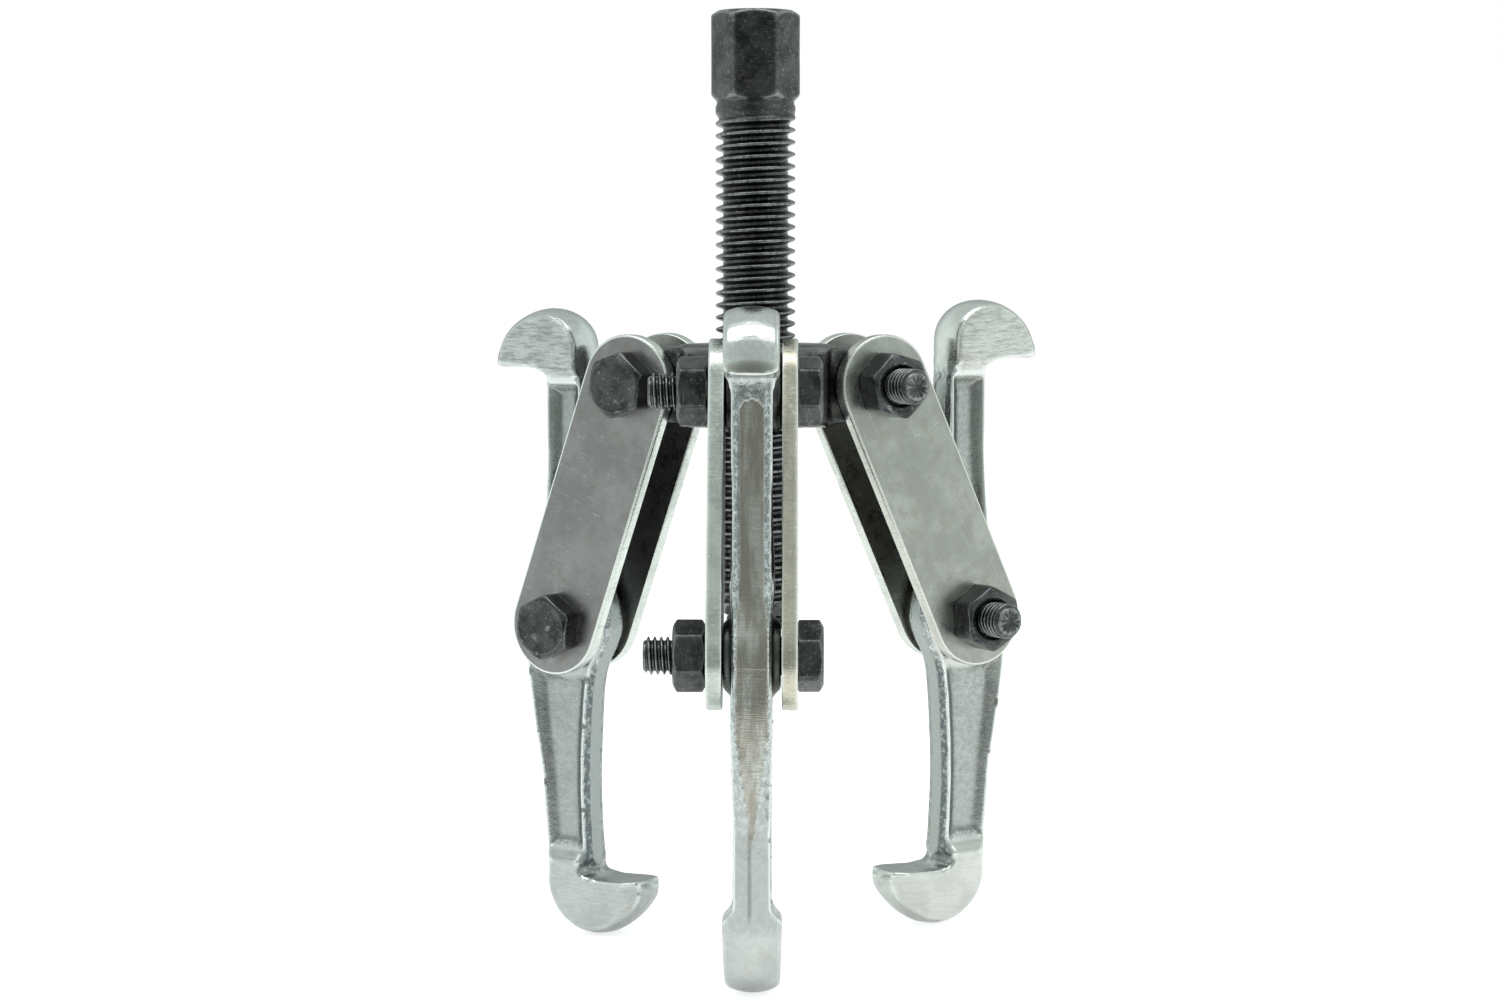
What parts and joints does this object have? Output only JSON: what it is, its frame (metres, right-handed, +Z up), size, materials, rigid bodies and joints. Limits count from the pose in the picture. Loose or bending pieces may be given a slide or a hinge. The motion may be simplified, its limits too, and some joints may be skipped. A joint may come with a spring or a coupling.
{
  "type": "gear puller",
  "caption": "Reversible-jaw gear puller: forcing screw through a lugged yoke, paired link plates and forged double-ended jaws on bolted pivots.",
  "frame": {"origin": "the point of the forcing screw, with the tool standing on its lower hooks", "axes": "+Z up along the forcing screw towards its hex head; -Y towards the front arm (azimuth 270), the other two arms at azimuths 150 and 30"},
  "size_m": [0.0948, 0.0881, 0.158],
  "materials": {
    "forged_jaw": "bright zinc plate over a forged skin",
    "link_steel": "satin mottled zinc plate",
    "black_oxide": "semi-gloss black oxide"
  },
  "bodies": {
    "yoke": {"yoke": "black_oxide"},
    "centre_point": {"screw_centre_point": "black_oxide"},
    "screw": {"forcing_screw": "black_oxide"},
    "link_front": {"link_plate_front_head_side": "link_steel", "link_plate_front_nut_side": "link_steel", "upper_bolt_front": "black_oxide", "upper_nut_front": "black_oxide", "lower_bolt_front": "black_oxide", "lower_nut_front": "black_oxide"},
    "jaw_front": {"jaw_front": "forged_jaw"},
    "link_left": {"link_plate_left_head_side": "link_steel", "link_plate_left_nut_side": "link_steel", "upper_bolt_left": "black_oxide", "upper_nut_left": "black_oxide", "lower_bolt_left": "black_oxide", "lower_nut_left": "black_oxide"},
    "jaw_left": {"jaw_left": "forged_jaw"},
    "link_right": {"link_plate_right_head_side": "link_steel", "link_plate_right_nut_side": "link_steel", "upper_bolt_right": "black_oxide", "upper_nut_right": "black_oxide", "lower_bolt_right": "black_oxide", "lower_nut_right": "black_oxide"},
    "jaw_right": {"jaw_right": "forged_jaw"}
  },
  "joints": [
    {"name": "screw_travel", "type": "slide", "parent": "yoke", "child": "centre_point", "axis": [0, 0, 1], "range_m": [-0.04, 0.028]},
    {"name": "screw_turn", "type": "hinge", "parent": "centre_point", "child": "screw", "pos_m": [0, 0, 0.05], "axis": [0, 0, 1], "range_deg": [-7205, 5045]},
    {"name": "link_swing_front", "type": "hinge", "parent": "yoke", "child": "link_front", "pos_m": [0, -0.0212, 0.045], "axis": [-1, 0, 0], "range_deg": [-15, 65.2]},
    {"name": "jaw_swing_front", "type": "hinge", "parent": "link_front", "child": "jaw_front", "pos_m": [0, -0.03978, 0.00479], "axis": [1, 0, 0], "range_deg": [-10, 65.2]},
    {"name": "link_swing_left", "type": "hinge", "parent": "yoke", "child": "link_left", "pos_m": [-0.01836, 0.0106, 0.045], "axis": [0.5, 0.866, 0], "range_deg": [-10, 70.2]},
    {"name": "jaw_swing_left", "type": "hinge", "parent": "link_left", "child": "jaw_left", "pos_m": [-0.03136, 0.0181, 0.00332], "axis": [-0.5, -0.866, 0], "range_deg": [-5, 70.2]},
    {"name": "link_swing_right", "type": "hinge", "parent": "yoke", "child": "link_right", "pos_m": [0.01836, 0.0106, 0.045], "axis": [0.5, -0.866, 0], "range_deg": [-15.2, 65]},
    {"name": "jaw_swing_right", "type": "hinge", "parent": "link_right", "child": "jaw_right", "pos_m": [0.03457, 0.01996, 0.00485], "axis": [-0.5, 0.866, 0], "range_deg": [-10.2, 65]}
  ],
  "couplings": [
    {"joint": "screw_turn", "follows": "screw_travel", "rad_per_m": 3141.6}
  ]
}
